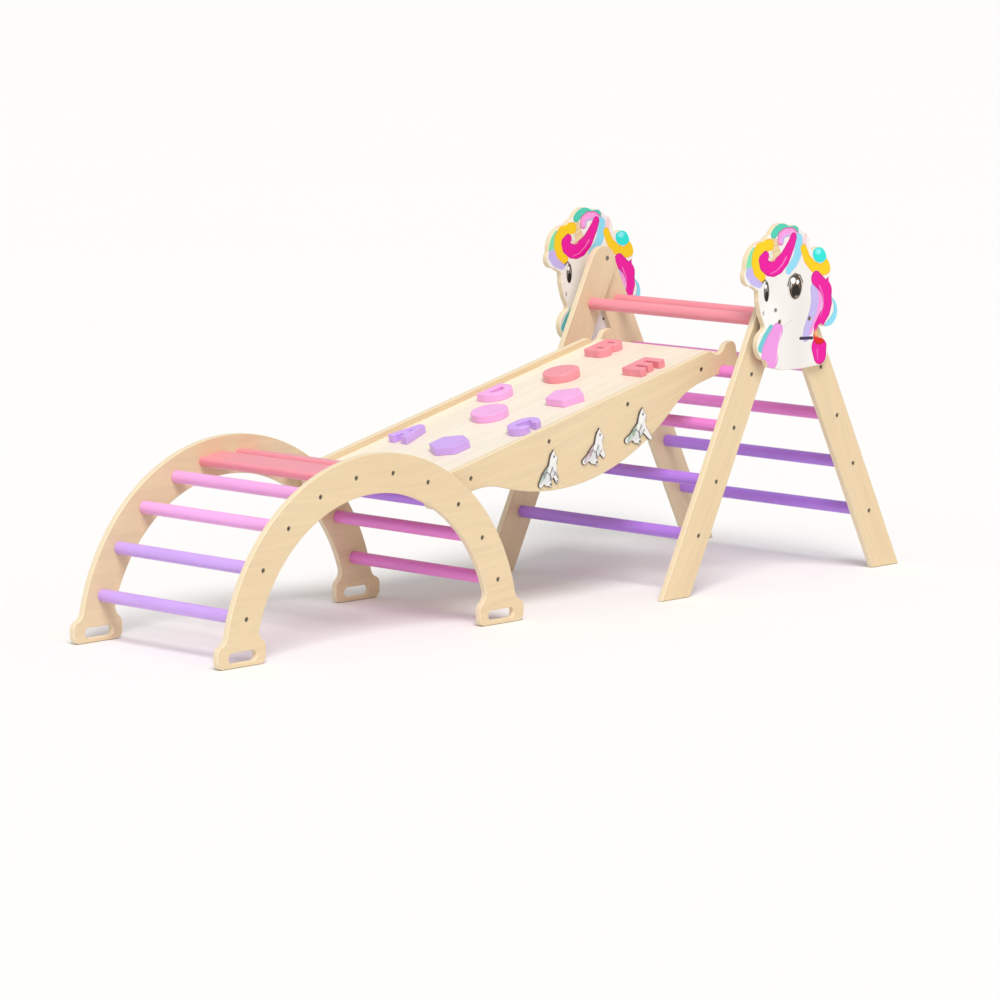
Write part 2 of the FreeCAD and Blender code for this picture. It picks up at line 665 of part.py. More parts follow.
def make_holds():
    seat = DECK_FACE + SEAT_GAP
    for name, along, across, kind in hold_places():
        body = plate(hold(kind), -HOLD_TALL, 0, HOLD_ROUND)
        body.rotate(V(0, 0, 0), V(1, 0, 0), -90)
        body.rotate(V(0, 0, 0), V(0, 0, 1), -90)
        body.translate(V(along, across, seat))
        for place, side in screw_places():
            if math.hypot(place - along, side - across) < LETTER_TALL / 2:
                body = body.cut(upright(place, side, SCREW_R + FIT_GAP, seat - PAST,
                                        seat + HOLD_BITE))
        save(name, on_slope(body))


# ---- badges: thin pony cut-outs on the near side of the slide board ----
def limb(start, end):
    """Faces of two discs, each as x, z and radius, and of the taper between them."""
    (x0, z0, r0), (x1, z1, r1) = start, end
    run = math.hypot(x1 - x0, z1 - z0)
    side_x, side_z = (z1 - z0) / run, (x0 - x1) / run
    taper = polygon(((x0 + r0 * side_x, z0 + r0 * side_z), (x1 + r1 * side_x, z1 + r1 * side_z),
                     (x1 - r1 * side_x, z1 - r1 * side_z), (x0 - r0 * side_x, z0 - r0 * side_z)))
    return [disc(*start), disc(*end), taper]


def pony(tail, hoof):
    """A sitting pony facing right, with the tips of its tail and front hoof."""
    head = limb((14, 25, 9), (24, 18, 6)) + [polygon(((7, 28), (20, 29), (17, 42)))]
    neck = limb((12, 20, 9), (12, 0, 15))
    body = limb((12, -2, 15), (-6, -20, 16)) + limb((-4, -26, 13), (6, -36, 6))
    front = limb((18, -6, 9), (*hoof, 6))
    back = limb((-14, -20, 9), (*tail, 7))
    return rounded(join(head + neck + body + front + back), 2, 3).Faces[0]


def badge(along, tail, hoof):
    body = plate(pony(tail, hoof), -RAMP_OUT - BADGE_THICK, -RAMP_OUT, 0)
    body.rotate(V(0, 0, 0), UP_Y, SLOPE)
    body.translate(V(SPAN / 2 + along, 0, RAMP_ABOVE - BADGE_LINE))
    return on_slope(body)


def main():
    make_arch()
    make_front_ladder()
    make_rear_ladder()
    make_ramp()
    make_holds()
    save("ramp_badges", *[badge(*row) for row in BADGES])


main()
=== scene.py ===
"""Finishes, printed pony panels, pony badges and studio for the toddler climbing set.

Laid out as an add-on: properties hold the colours and sizes, one operator finishes each group
of pieces, and the panel lists the operators.
"""
import json
import math
from itertools import pairwise

import bmesh
import bpy
from bpy.props import FloatProperty, FloatVectorProperty, PointerProperty
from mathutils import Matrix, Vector


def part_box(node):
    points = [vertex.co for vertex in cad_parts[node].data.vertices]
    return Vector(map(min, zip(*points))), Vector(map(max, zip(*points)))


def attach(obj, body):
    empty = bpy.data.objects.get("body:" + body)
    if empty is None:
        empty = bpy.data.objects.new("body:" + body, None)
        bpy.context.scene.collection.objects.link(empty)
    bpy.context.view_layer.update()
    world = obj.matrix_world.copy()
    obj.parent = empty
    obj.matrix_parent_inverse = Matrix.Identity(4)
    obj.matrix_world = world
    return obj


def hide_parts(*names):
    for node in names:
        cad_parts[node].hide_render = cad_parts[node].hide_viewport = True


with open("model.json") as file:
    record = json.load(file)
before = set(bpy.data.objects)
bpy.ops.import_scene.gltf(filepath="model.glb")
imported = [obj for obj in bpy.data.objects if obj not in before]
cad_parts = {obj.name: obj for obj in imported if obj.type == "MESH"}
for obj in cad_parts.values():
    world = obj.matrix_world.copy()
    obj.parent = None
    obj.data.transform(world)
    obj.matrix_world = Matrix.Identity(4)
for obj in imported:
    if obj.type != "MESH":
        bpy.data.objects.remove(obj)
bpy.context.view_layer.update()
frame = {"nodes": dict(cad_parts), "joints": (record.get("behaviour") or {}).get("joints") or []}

bl_info = {
    "name": "Toddler climbing set",
    "version": (1, 0, 0),
    "blender": (4, 5, 0),
    "location": "3D View > Sidebar > Climbing set",
    "description": "Finishes and studio for an arch climber, A-frame and slide board",
    "category": "Object",
}

NODES = frame["nodes"]
JOINTS = {joint["name"]: joint for joint in frame["joints"]}
PIVOT = Vector(JOINTS["rear_fold"]["pos_m"])
UPPER_HOOK = Vector(JOINTS["ramp_lift"]["pos_m"])
MM = 0.001


def middle(node):
    """Middle of a CAD node's box."""
    low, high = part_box(node)
    return (low + high) / 2


LOWER_HOOK = middle("arch_rung_8")
UPHILL = (UPPER_HOOK - LOWER_HOOK).normalized()
DECK_UP = Vector((-UPHILL.z, 0, UPHILL.x))
FRONT_DOWN = (middle("front_rung_1") - PIVOT).normalized()
REAR_DOWN = (middle("rear_rung_1") - PIVOT).normalized()
ALONG_X, ALONG_Y, ALONG_Z = Vector((1, 0, 0)), Vector((0, 1, 0)), Vector((0, 0, 1))


# ---- shader maths ----
COLOUR_FACTOR, FIRST_COLOUR, SECOND_COLOUR, MIXED_COLOUR = 0, 6, 7, 2      # sockets of a colour Mix node


class Wire:
    """An output socket whose operators add Math nodes."""

    def __init__(self, finish, socket):
        self.finish = finish
        self.socket = socket

    def __add__(self, other):
        return self.finish.maths("ADD", self, other)

    def __radd__(self, other):
        return self.finish.maths("ADD", other, self)

    def __sub__(self, other):
        return self.finish.maths("SUBTRACT", self, other)

    def __rsub__(self, other):
        return self.finish.maths("SUBTRACT", other, self)

    def __mul__(self, other):
        return self.finish.maths("MULTIPLY", self, other)

    def __rmul__(self, other):
        return self.finish.maths("MULTIPLY", other, self)

    def __truediv__(self, other):
        return self.finish.maths("DIVIDE", self, other)

    def __rtruediv__(self, other):
        return self.finish.maths("DIVIDE", other, self)

    def __abs__(self):
        return self.finish.maths("ABSOLUTE", self)

    def lowest(self, other):
        return self.finish.maths("MINIMUM", self, other)

    def clamped(self):
        return self.finish.node("ShaderNodeClamp", {}, {"Value": self})

    def stepped(self, start, end):
        """0 at start, 1 at end, straight between."""
        gain = 1 / (end - start)
        return self.finish.maths("MULTIPLY_ADD", self, gain, -start * gain).clamped()


class Finish:
    """A material being made: its Principled shader and the nodes that feed it."""

    def __init__(self, name, **constants):
        self.material = bpy.data.materials.new(name)
        self.material.use_nodes = True
        self.tree = self.material.node_tree
        self.shader = self.tree.nodes["Principled BSDF"]
        for key, value in constants.items():
            self.shader.inputs[key.replace("_", " ").title().replace("Ior", "IOR")].default_value = value
        self.place = self.node("ShaderNodeTexCoord", {}, {}, "Object")
        self.facing = self.node("ShaderNodeTexCoord", {}, {}, "Normal")

    def put(self, socket, value):
        if isinstance(value, Wire):
            self.tree.links.new(value.socket, socket)
        else:
            socket.default_value = value

    def node(self, kind, settings, inputs, output=0):
        """Adds a node, sets it up, fills its sockets and gives one of its outputs."""
        made = self.tree.nodes.new(kind)
        for key, value in settings.items():
            setattr(made, key, value)
        for key, value in inputs.items():
            self.put(made.inputs[key], value)
        return Wire(self, made.outputs[output])

    def maths(self, operation, *values):
        return self.node("ShaderNodeMath", {"operation": operation}, dict(enumerate(values)))

    def vector(self, operation, first, second, output="Vector"):
        return self.node("ShaderNodeVectorMath", {"operation": operation}, {0: first, 1: second}, output)

    def along(self, vector, direction):
        """Length of a vector along a direction."""
        return self.vector("DOT_PRODUCT", vector, tuple(direction), "Value")

    def join(self, x, y, z):
        return self.node("ShaderNodeCombineXYZ", {}, {0: x, 1: y, 2: z})

    def noise(self, place, scale, detail=3.0, roughness=0.5):
        """Noise from 0 to 1 with its middle at 0.5."""
        inputs = {"Vector": place, "Scale": scale, "Detail": detail, "Roughness": roughness}
        return self.node("ShaderNodeTexNoise", {"noise_dimensions": "3D"}, inputs, "Fac")

    def mix(self, factor, first, second):
        """First colour where the factor is 0, second where it is 1."""
        inputs = {COLOUR_FACTOR: factor, FIRST_COLOUR: first, SECOND_COLOUR: second}
        return self.node("ShaderNodeMix", {"data_type": "RGBA"}, inputs, MIXED_COLOUR)

    def bump(self, height, depth):
        """Normal for a height from 0 to 1 that stands for a depth in metres."""
        inputs = {"Height": height, "Distance": depth, "Strength": 1.0}
        return self.node("ShaderNodeBump", {}, inputs, "Normal")

    def done(self, colour, roughness, normal=None, metallic=None):
        self.put(self.shader.inputs["Base Color"], colour)
        self.put(self.shader.inputs["Roughness"], roughness)
        if normal is not None:
            self.put(self.shader.inputs["Normal"], normal)
        if metallic is not None:
            self.shader.inputs["Metallic"].default_value = metallic
        return self.material


def rgba(colour, gain=1.0):
    """A four-part colour, lightened or darkened by gain."""
    return tuple(min(1.0, part * gain) for part in colour[:3]) + (1.0,)


def wear(piece, material):
    """Gives a piece one material."""
    piece.data.materials.clear()
    piece.data.materials.append(material)


# ---- finishes ----
def wood_grain(finish, along, across, shift):
    """Long streaks, broad clouds and fine pores of a board, each from 0 to 1.

    The factors of u, v and w are in cells per metre along the grain, over it and through the board.
    """
    side = along.cross(across)
    u = finish.along(finish.place, along) + shift
    v = finish.along(finish.place, side) + 2 * shift
    w = finish.along(finish.place, across)
    wander = finish.noise(finish.join(u * 2.2, v * 7, w), 1.0, 2.0)
    streaks = finish.noise(finish.join(u * 5, v * 95 + wander * 9, w * 40), 1.0, 4.0, 0.6)
    clouds = finish.noise(finish.join(u * 1.3, v * 9, w * 5), 1.0, 2.0)
    pores = finish.noise(finish.join(u * 60, v * 900, w * 600), 1.0, 2.0)
    return streaks, clouds, pores


VENEER_LINE = (0.35, 0.65)      # from light to dark veneer
EDGE_TO_FACE = (0.6, 0.8)       # how squarely a board's edge and its face look along its thickness


def with_edges(finish, face, across):
    """A plywood face's colour, and on the board's edges the lines of its veneers."""
    looks = bpy.context.scene.climbing_finish
    depth = finish.along(finish.place, across) / looks.veneer
    layer = abs(finish.maths("FRACT", depth) - 0.5) * 2
    edge = finish.mix(layer.stepped(*VENEER_LINE) * 0.45, rgba(looks.plywood_edge),
                      rgba(looks.plywood_warm, 0.8))
    on_face = abs(finish.along(finish.facing, across)).stepped(*EDGE_TO_FACE)
    return finish.mix(on_face, edge, face)


def birch_plywood(name, tone, along, across, shift=0.0):
    """Lacquered birch plywood: grained faces, and edges that show the veneers."""
    looks = bpy.context.scene.climbing_finish
    finish = Finish(name, coat_weight=0.25, coat_roughness=0.3, specular_ior_level=0.4)
    streaks, clouds, pores = wood_grain(finish, along, across, shift)
    face = finish.mix(streaks.stepped(0.35, 0.75), rgba(tone), rgba(tone, 0.89))
    face = finish.mix(clouds.stepped(0.3, 0.8) * 0.28, face, rgba(looks.plywood_warm))
    face = finish.mix(pores.stepped(0.62, 0.75) * 0.16, face, rgba(looks.plywood_warm, 0.55))
    normal = finish.bump(streaks * 0.6 + pores * 0.4, 0.00012)
    return finish.done(with_edges(finish, face, across), 0.42 + streaks * 0.16, normal)


def stained_wood(name, colour, along, shift=0.0):
    """Turned or planed wood under a clear satin stain, its grain just showing."""
    finish = Finish(name, coat_weight=0.4, coat_roughness=0.25, specular_ior_level=0.5)
    across = ALONG_Z if abs(along.z) < 0.9 else ALONG_X
    streaks, clouds, pores = wood_grain(finish, along, across, shift)
    stain = finish.mix(streaks.stepped(0.35, 0.8) * 0.45, rgba(colour), rgba(colour, 0.72))
    stain = finish.mix(clouds.stepped(0.4, 0.8) * 0.35, stain, rgba(colour, 1.18))
    normal = finish.bump(streaks * 0.5 + pores * 0.5, 0.00008)
    return finish.done(stain, 0.34 + clouds * 0.14, normal)


def zinc_plate(name):
    """Zinc-plated steel with fine turning marks, darkened to brown-grey as painted shade of the bolt holes."""
    looks = bpy.context.scene.climbing_finish
    finish = Finish(name)
    marks = finish.noise(finish.vector("MULTIPLY", finish.place, (900, 120, 900)), 1.0, 2.0)
    stains = finish.noise(finish.place, 140, 3.0)
    # painted shade: the steel tone is dark so the bolt heads read as shaded holes
    colour = finish.mix(stains.stepped(0.35, 0.7) * 0.5, rgba(looks.steel), rgba(looks.steel, 0.7))
    return finish.done(colour, 0.34 + marks * 0.2, finish.bump(marks, 0.00004), 1.0)


def moulded_sleeve(name):
    """White moulded sleeve between a panel and its leg."""
    finish = Finish(name, specular_ior_level=0.5)
    speckle = finish.noise(finish.place, 700, 2.0)
    colour = finish.mix(speckle * 0.4, rgba((0.86, 0.86, 0.84)), rgba((0.74, 0.74, 0.71)))
    return finish.done(colour, 0.38 + speckle * 0.1, finish.bump(speckle, 0.00003))


# ---- the pony print, in millimetres from the A-frame's pivot ----
class Print:
    """Layers of flat ink, each shape given by its distance field in millimetres."""

    def __init__(self, finish, origin, paper):
        self.finish = finish
        from_origin = finish.vector("SUBTRACT", finish.place, tuple(origin))
        self.spot = finish.vector("MULTIPLY", from_origin, (1000, 0, 1000))
        self.colour = paper

    def stroke(self, points, start, end=None):
        """Distance to a stroke whose half width goes from start to end."""
        end = start if end is None else end
        field = None
        grow = (end - start) / (len(points) - 1)
        for step, (a, b) in enumerate(pairwise(points)):
            a, b = Vector((a[0], 0, a[1])), Vector((b[0], 0, b[1]))
            run = b - a
            from_a = self.finish.vector("SUBTRACT", self.spot, tuple(a))
            part = self.finish.along(from_a, run / run.length_squared).clamped()
            nearest = self.finish.node("ShaderNodeVectorMath", {"operation": "SCALE"},
                                       {0: tuple(run), "Scale": part})
            gap = self.finish.vector("DISTANCE", from_a, nearest, "Value")
            width = start + grow * step
            gap = gap - (part * grow + width if grow else width)
            field = gap if field is None else field.lowest(gap)
        return field

    def oval(self, x, z, wide, tall):
        """Distance, near its rim, to an oval of those half sizes."""
        from_middle = self.finish.vector("SUBTRACT", self.spot, (x, 0, z))
        unit = self.finish.vector("MULTIPLY", from_middle, (1 / wide, 0, 1 / tall))
        reach = self.finish.vector("LENGTH", unit, (0, 0, 0), "Value")
        return (reach - 1) * min(wide, tall)

    def ink(self, field, colour, rim=None, blur=1.2, rim_width=4.0, strength=1.0):
        """Lays a shape over what is there, darker or lighter towards its rim."""
        paint = rgba(colour)
        if rim is not None:
            paint = self.finish.mix(field.stepped(-rim_width, 0.0), rgba(colour), rgba(rim))
        inside = field.stepped(blur / 2, -blur / 2) * strength
        self.colour = self.finish.mix(inside, self.colour, paint)


MAGENTA, PLUM, ROSE = (0.80, 0.0, 0.33), (0.48, 0.0, 0.2), (0.93, 0.34, 0.72)
LILAC, SKY, TEAL = (0.54, 0.46, 0.83), (0.26, 0.68, 0.86), (0.08, 0.6, 0.44)
SUN, AMBER, AQUA = (0.90, 0.60, 0.005), (0.88, 0.42, 0.01), (0.02, 0.76, 0.68)
BLUSH, INK, SNOW = (0.82, 0.31, 0.74), (0.008, 0.007, 0.008), (0.84, 0.81, 0.78)
HORN, RED, NAVY = (0.80, 0.62, 0.36), (0.72, 0.012, 0.006), (0.03, 0.025, 0.07)


def pony_print(name):
    """Plywood panel printed on both faces with a long-maned pony's head."""
    looks = bpy.context.scene.climbing_finish
    finish = Finish(name, coat_weight=0.08, coat_roughness=0.3, specular_ior_level=0.15)
    streaks, clouds, pores = wood_grain(finish, ALONG_Z, ALONG_Y, 0.3)
    art = Print(finish, PIVOT, rgba(SNOW))
    ink, stroke, oval = art.ink, art.stroke, art.oval
    # shading of the muzzle, the neck and the line of the mouth
    ink(oval(-84, -88, 34, 40), (0.93, 0.9, 0.88), blur=30, strength=0.7)
    ink(stroke([(20, -70), (8, -120), (12, -205)], 24), (0.74, 0.69, 0.68), blur=40, strength=0.4)
    ink(stroke([(-56, -112), (-30, -112), (-10, -100)], 1.0), (0.55, 0.48, 0.5), blur=3, strength=0.5)
    # ear and horn
    ink(stroke([(28, 58), (37, 96)], 14, 5), (0.88, 0.62, 0.64), SNOW, rim_width=6)
    ink(stroke([(-60, 40), (-74, 90)], 16, 7), HORN, (0.66, 0.46, 0.25))
    for height in (58, 70, 82):
        ink(stroke([(-84, height - 5), (-58, height + 3)], 0.9), (0.55, 0.36, 0.18), strength=0.6)
    # forelock: teal, rose and lilac bands, sky lock, green, lilac and yellow locks, magenta curl
    ink(stroke([(-72, 97), (-57, 108), (-38, 112), (-18, 109), (0, 98)], 11), TEAL, (0.03, 0.42, 0.36))
    ink(stroke([(-49, 80), (-48, 91), (-34, 98), (-12, 98), (6, 86)], 11, 10), ROSE, PLUM)
    ink(stroke([(-42, 76), (-40, 87), (-26, 91), (-10, 90)], 3, 2), LILAC, strength=0.9)
    ink(stroke([(9, 78), (11, 60), (7, 44), (-3, 28), (-22, 12)], 16, 10), SKY, (0.42, 0.56, 0.84))
    ink(stroke([(0, 66), (-4, 46), (-20, 28)], 2, 1), (0.5, 0.62, 0.9), strength=0.7)
    ink(stroke([(-146, 62), (-152, 42), (-149, 22)], 12, 14), (0.22, 0.72, 0.42), TEAL)
    ink(stroke([(-152, 14), (-140, -1), (-120, -9)], 14, 12), LILAC, (0.48, 0.52, 0.84))
    left_lock = [(-86, 73), (-106, 73), (-122, 66), (-132, 53), (-134, 34), (-127, 16), (-111, 4)]
    ink(stroke(left_lock, 14, 12), SUN, AMBER)
    curl = stroke([(-6, 85), (-14, 70), (-25, 54), (-37, 38), (-56, 25)], 11, 20)
    curl = curl.lowest(stroke([(-56, 25), (-72, 19), (-88, 20), (-104, 29), (-109, 41), (-100, 49)], 20, 12))
    ink(curl, MAGENTA, PLUM)
    ink(stroke([(-86, 46), (-80, 38), (-70, 40)], 3), (0.72, 0.5, 0.3), blur=3, strength=0.7)
    ink(stroke([(-30, 42), (-44, 26), (-62, 14), (-84, 8)], 2.2, 0.8), ROSE, strength=0.5)
    # mane behind the ear
    right_lock = [(28, 58), (41, 33), (62, 15), (85, 5), (106, 9), (114, 23), (116, 38)]
    ink(stroke(right_lock, 10, 18), SUN, AMBER)
    ink(oval(86, 43, 26, 21), AQUA, (0.03, 0.6, 0.66))
    ink(oval(79, 48, 9, 6), (0.3, 0.86, 0.95), blur=5, strength=0.8)
    ink(stroke([(136, -54), (146, -76), (144, -98), (129, -115), (111, -128)], 11, 13), SKY,
        (0.06, 0.48, 0.62))
    ink(stroke([(70, -36), (72, -60), (66, -84), (54, -106), (43, -126), (38, -142)], 17, 11), LILAC,
        (0.42, 0.36, 0.68))
    ink(stroke([(86, -40), (89, -64), (80, -92), (66, -112), (54, -134)], 8, 4), ROSE, (0.72, 0.3, 0.7))
    mane = stroke([(72, -12), (98, -32), (109, -50), (112, -70), (106, -90), (92, -106), (80, -122),
                   (77, -140)], 17, 13)
    ink(mane.lowest(oval(118, -32, 20, 20)), MAGENTA, PLUM)
    ink(stroke([(84, -30), (96, -52), (98, -76), (88, -98)], 2.0, 0.9), ROSE, strength=0.5)
    # tied end
    ink(stroke([(84, -168), (87, -186)], 26, 22), MAGENTA, PLUM)
    ink(stroke([(78, -174), (80, -196)], 2, 1), ROSE, strength=0.4)
    ink(oval(86, -144, 22, 19), RED, (0.42, 0.0, 0.01))
    ink(oval(76, -136, 9, 8), (0.92, 0.5, 0.22), blur=6, strength=0.85)
    ink(stroke([(20, -144), (60, -146)], 3.6), NAVY)
    # chest lock
    ink(stroke([(-80, -114), (-99, -134), (-113, -156)], 9, 10), (0.16, 0.56, 0.66), TEAL)
    ink(stroke([(-58, -120), (-73, -142), (-85, -164), (-84, -182)], 18, 28), BLUSH, (0.7, 0.24, 0.6))
    ink(stroke([(-46, -126), (-56, -156), (-62, -190)], 2.0, 1.0), (0.96, 0.58, 0.84), strength=0.8)
    # near eye
    ink(oval(2, -27, 28, 33), (0.73, 0.68, 0.62), SNOW)
    ink(stroke([(-24, -22), (-18, -6), (0, 3), (17, -2), (27, -18)], 2.4, 1.6), INK, strength=0.85)
    ink(oval(2, -27, 21, 27), (0.14, 0.09, 0.06), INK, rim_width=7)
    ink(oval(3, -37, 14, 15), INK)
    ink(oval(-6, -12, 8, 7), (1, 1, 1))
    ink(oval(9, -16, 5, 5), (0.9, 0.9, 0.9))
    ink(stroke([(-12, -18), (-14, -28)], 2, 1), (0.8, 0.78, 0.76), strength=0.8)
    ink(oval(6, -49, 7, 2.5), (0.3, 0.22, 0.18), blur=3)
    # far eye and nostrils
    ink(stroke([(-110, -10), (-101, -4), (-92, -12)], 2.2, 1.6), INK, strength=0.8)
    ink(oval(-96, -31, 9, 22), (0.24, 0.2, 0.18), INK)
    ink(oval(-95, -41, 6, 12), INK)
    ink(oval(-99, -19, 4, 5), (0.95, 0.95, 0.95))
    ink(oval(-65, -74, 5, 4.5), (0.2, 0.17, 0.17), blur=3)
    ink(oval(-106, -78, 3, 5), (0.45, 0.4, 0.4), blur=3)
    printed = finish.mix(clouds.stepped(0.3, 0.8) * 0.05, art.colour, rgba(looks.plywood_warm, 0.5))
    normal = finish.bump(streaks * 0.5 + pores * 0.5, 0.00005)
    return finish.done(with_edges(finish, printed, ALONG_Y), 0.34 + clouds * 0.12, normal)


def badge_paint(name, centre, locks):
    """Paint of one badge: a sitting pony in pale greys, its mane and tail tinted."""
    finish = Finish(name, coat_weight=0.4, coat_roughness=0.2, specular_ior_level=0.5)
    speckle = finish.noise(finish.place, 420, 3.0)
    art = Print(finish, centre, rgba((0.84, 0.82, 0.8)))
    ink, stroke, oval = art.ink, art.stroke, art.oval
    deep, shade = rgba(locks, 0.45), (0.62, 0.64, 0.66)
    # haunch, belly and the shade behind the foreleg
    ink(oval(-8, -20, 15, 13), shade, blur=8, strength=0.7)
    ink(stroke([(12, 2), (16, -10), (10, -26)], 3, 4), shade, blur=5, strength=0.8)
    # mane, its lower lock and the tail
    ink(stroke([(7, 34), (0, 22), (-4, 8)], 5, 7), rgba(locks, 0.6), (0.1, 0.07, 0.06))
    ink(stroke([(2, 30), (2, 18)], 1.2), (0.78, 0.74, 0.74), strength=0.8)
    ink(stroke([(-4, 6), (-8, -6), (-14, -16)], 4, 6), locks, deep)
    ink(stroke([(-18, -18), (-28, -30)], 7, 4), locks, deep)
    ink(stroke([(-16, -22), (-27, -31)], 1.2), (0.8, 0.8, 0.78), strength=0.8)
    # lines of the haunch, the foreleg and the neck
    ink(stroke([(-16, -12), (-4, -8), (6, -16), (6, -28)], 1.3), (0.12, 0.1, 0.1), strength=0.85)
    ink(stroke([(13, 0), (6, -14), (12, -33)], 1.6), (0.1, 0.09, 0.09), strength=0.9)
    ink(stroke([(24, -10), (17, -18)], 1.4), (0.12, 0.1, 0.1), strength=0.8)
    # hooves, eye and nostril
    ink(oval(8, -36, 4, 3), (0.12, 0.1, 0.08), blur=2)
    ink(oval(28, -31, 4, 3), (0.3, 0.26, 0.24), blur=2)
    ink(oval(18, 24, 2.4, 3), INK)
    ink(oval(28, 17, 1.2, 1.4), INK)
    colour = finish.mix(speckle * 0.12, art.colour, rgba((0.5, 0.5, 0.5)))
    return finish.done(colour, 0.34 + speckle * 0.1, finish.bump(speckle, 0.00004))


def badge_rim(name):
    """Dark edging of the badges."""
    finish = Finish(name, specular_ior_level=0.4)
    speckle = finish.noise(finish.place, 300, 2.0)
    colour = finish.mix(speckle, rgba((0.06, 0.055, 0.05)), rgba((0.14, 0.12, 0.11)))
    return finish.done(colour, 0.5 + speckle * 0.1)


def pale_floor(name):
    """Plain matt studio floor."""
    finish = Finish(name, specular_ior_level=0.2)
    cloud = finish.noise(finish.place, 0.6, 2.0)
    tone = bpy.context.scene.climbing_stage.floor
    colour = finish.mix(cloud * 0.5, rgba(tone), rgba(tone, 0.985))
    return finish.done(colour, 0.8)


# ---- properties ----
def swatch(name, description, default):
    """A colour property."""
    return FloatVectorProperty(name=name, description=description, subtype="COLOR", size=3, min=0, max=1,
                               default=default)


class ClimbingSetFinish(bpy.types.PropertyGroup):
    """Colours and small sizes of the set's finishes."""

    plywood: swatch("Plywood", "Face of the lacquered birch plywood", (0.80, 0.635, 0.405))
    plywood_warm: swatch("Plywood grain", "Darker grain of the plywood", (0.70, 0.49, 0.27))
    plywood_edge: swatch("Plywood edge", "Light veneers in the sanded edges", (0.90, 0.78, 0.56))
    deck: swatch("Deck", "Face of the paler deck board", (0.96, 0.90, 0.76))
    purple: swatch("Purple stain", "Lower rungs and holds", (0.64, 0.39, 0.93))
    pink: swatch("Pink stain", "Middle rungs and holds", (0.93, 0.42, 0.82))
    coral: swatch("Coral stain", "Top rungs, planks and holds", (0.92, 0.30, 0.37))
    # painted shade: coats that darken the stain on the rungs standing in shade
    shade_coats: FloatProperty(name="Painted shade coats", description="Coats of stain on the rungs that stand in shade, as painted shade",
                              default=1.6, min=0.5)
    # painted shade: dark brown-grey steel stands for the shade in the bolt holes
    steel: swatch("Steel", "Zinc-plated bolts and screws, darkened as painted shade of their holes", (0.30, 0.26, 0.20))
    veneer: FloatProperty(name="Veneer pitch", description="Two veneers of the plywood", default=2.5 * MM,
                          min=0.5 * MM, subtype="DISTANCE", unit="LENGTH")
    badge_rim: FloatProperty(name="Badge rim", description="Width of the badges' dark edging",
                             default=1.1 * MM, min=0, subtype="DISTANCE", unit="LENGTH")
    badge_step: FloatProperty(name="Badge step", description="Height of the badges' raised paint",
                              default=0.6 * MM, min=0, subtype="DISTANCE", unit="LENGTH")


class ClimbingSetStage(bpy.types.PropertyGroup):
    """Camera, lights and floor."""

    floor: swatch("Floor", "Plain pale floor", (0.92, 0.92, 0.92))
    floor_size: FloatProperty(name="Floor size", description="Side of the square floor", default=160.0,
                              min=1, subtype="DISTANCE", unit="LENGTH")
    camera_place: FloatVectorProperty(name="Camera", description="Place of the camera", size=3,
                                      default=(-7.820, -7.682, 1.787), subtype="TRANSLATION", unit="LENGTH")
    camera_turn: FloatProperty(name="Camera heading", description="From +Y towards +X",
                               default=math.radians(45.58), subtype="ANGLE", unit="ROTATION")
    camera_dip: FloatProperty(name="Camera dip", description="Below level", default=math.radians(8.12),
                              subtype="ANGLE", unit="ROTATION")
    lens: FloatProperty(name="Lens", description="Focal length in millimetres on a 36 mm sensor",
                        default=181.1, min=20)
    sky: FloatProperty(name="Sky", description="Strength of the even light from all round", default=0.54, min=0)
    sun: FloatProperty(name="Sun", description="Strength of the soft main light", default=2.3, min=0)
    sun_aim: FloatVectorProperty(name="Sun aim", description="Way the main light shines", size=3,
                                 default=(0.44, 0.56, -0.9), subtype="DIRECTION")
    sun_softness: FloatProperty(name="Sun softness", description="Angular size of the main light",
                                default=math.radians(28), subtype="ANGLE", unit="ROTATION")


# ---- operators ----
def named(*starts):
    """The nodes whose names start so, in order."""
    return [node for name, node in sorted(NODES.items()) if name.startswith(starts)]


class FinishBoards(bpy.types.Operator):
    """Gives the sides, legs, deck and rails their plywood"""

    bl_idname = "climbing_set.boards"
    bl_label = "Plywood boards"

    def execute(self, context):
        looks = context.scene.climbing_finish
        groups = (
            ("arch plywood", looks.plywood, ALONG_X, ALONG_Y, 0.0, "arch_side"),
            ("front leg plywood", looks.plywood, FRONT_DOWN, ALONG_Y, 0.7, "front_leg"),
            ("rear leg plywood", looks.plywood, REAR_DOWN, ALONG_Y, 1.9, "rear_leg"),
            ("side board plywood", looks.plywood, UPHILL, ALONG_Y, 2.6, "ramp_side"),
            ("rail wood", looks.plywood, ALONG_Y, DECK_UP, 3.1, "ramp_rail"),
            ("deck plywood", looks.deck, UPHILL, DECK_UP, 4.4, "ramp_deck"),
        )
        for name, tone, along, across, shift, start in groups:
            material = birch_plywood(name, tone, along, across, shift)
            for node in named(start):
                wear(node, material)
        return {"FINISHED"}


# Rungs and planks in the light: the stains as they are, the lit copy of each
ONE_COAT_STAINS = {
    "purple": ("arch_rung_1", "arch_rung_2"),
    "pink": ("arch_rung_3", "arch_rung_4"),
    "coral": ("arch_plank_5", "arch_plank_6", "front_rung_5", "rear_rung_5"),
}
# Rungs that stand in shade: the same stains darkened by extra coats, a painted shade
SHADE_DARKENED_STAINS = {
    "purple": ("arch_rung_7", "arch_rung_8", "front_rung_1", "front_rung_2", "rear_rung_1", "rear_rung_2"),
    "pink": ("arch_rung_9", "arch_rung_10", "front_rung_3", "front_rung_4", "rear_rung_3", "rear_rung_4"),
}
HOLD_STAINS = {
    "purple": ("hold_a", "hold_c", "hold_hexagon"),
    "pink": ("hold_d", "hold_disc_lower", "hold_pentagon"),
    "coral": ("hold_b", "hold_disc_upper", "hold_e"),
}


